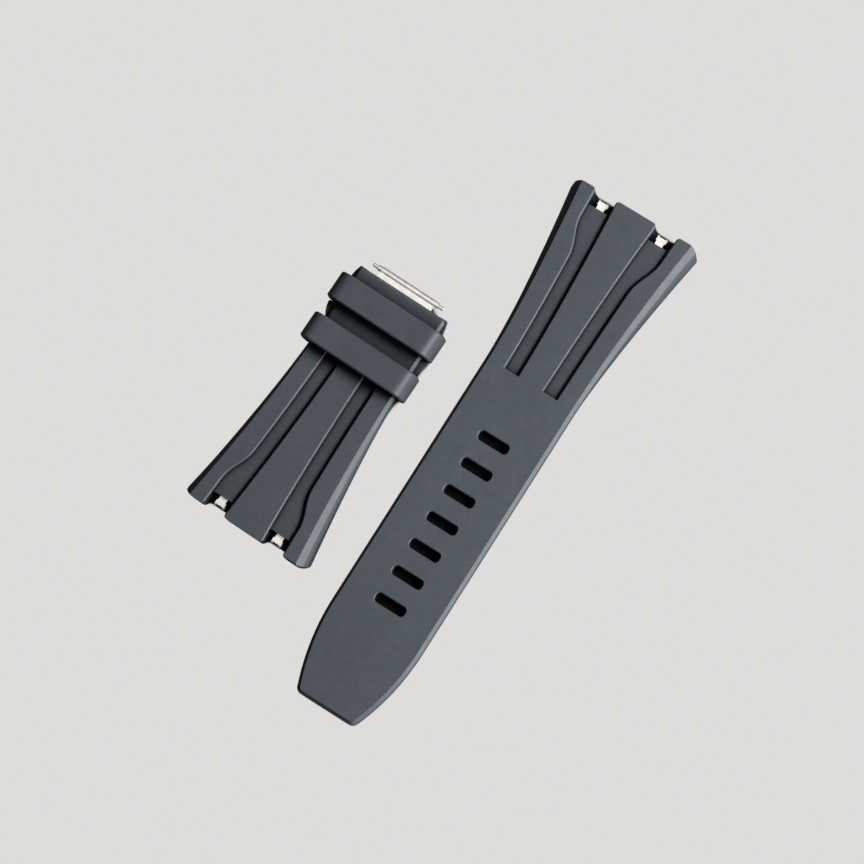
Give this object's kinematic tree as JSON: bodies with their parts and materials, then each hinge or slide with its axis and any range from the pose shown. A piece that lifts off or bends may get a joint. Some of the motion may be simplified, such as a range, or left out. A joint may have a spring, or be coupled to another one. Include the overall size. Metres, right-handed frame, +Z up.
{
  "type": "rubber dive strap",
  "caption": "Two-piece rubber watch strap with grooved, flared case ends, steel link eyes, tongue holes, two keepers and a sprung buckle bar.",
  "frame": {"origin": "middle of the footprint on the surface that both halves lie on", "axes": "+Y along the tail half from its tip to its case end, +X from the buckle half to the tail half, +Z up"},
  "size_m": [0.0669, 0.1248, 0.0084],
  "materials": {
    "tail_rubber": "matte",
    "buckle_rubber": "matte",
    "keeper_rubber": "matte",
    "link_steel": "brushed",
    "insert_steel": "brushed",
    "bar_steel": "brushed",
    "coil_steel": "brushed"
  },
  "bodies": {
    "buckle_half": {"buckle_strap": "buckle_rubber", "fixed_keeper": "keeper_rubber", "buckle_link_left": "link_steel", "buckle_link_right": "link_steel", "buckle_insert": "insert_steel"},
    "keeper": {"free_keeper": "keeper_rubber"},
    "spring_bar": {"spring_bar_tube": "bar_steel", "spring_bar_coil": "coil_steel"},
    "bar_pin_left": {"spring_bar_tip_left": "bar_steel"},
    "bar_pin_right": {"spring_bar_tip_right": "bar_steel"},
    "tail_half": {"tail_strap": "tail_rubber", "tail_link_left": "link_steel", "tail_link_right": "link_steel"}
  },
  "joints": [
    {"name": "keeper_slide", "type": "slide", "parent": "buckle_half", "child": "keeper", "axis": [0.0262, 0.9997, 0], "range_m": [-0.004, 0.0003]},
    {"name": "spring_bar_spin", "type": "hinge", "parent": "buckle_half", "child": "spring_bar", "pos_m": [-0.0159, 0.02343, 0.00295], "axis": [0.9997, -0.0262, 0], "continuous": true},
    {"name": "bar_pin_left_press", "type": "slide", "parent": "spring_bar", "child": "bar_pin_left", "axis": [0.9997, -0.0262, 0], "range_m": [0, 0.0009], "stiffness_N_per_m": 1500, "deforming": ["spring_bar_coil"]},
    {"name": "bar_pin_right_press", "type": "slide", "parent": "spring_bar", "child": "bar_pin_right", "axis": [-0.9997, 0.0262, 0], "range_m": [0, 0.0009], "stiffness_N_per_m": 1500, "deforming": ["spring_bar_coil"]},
    {"name": "tail_half_move", "type": "slide", "parent": "buckle_half", "child": "tail_half", "axis": [1, 0, 0], "range_m": [0, 0.04]}
  ]
}
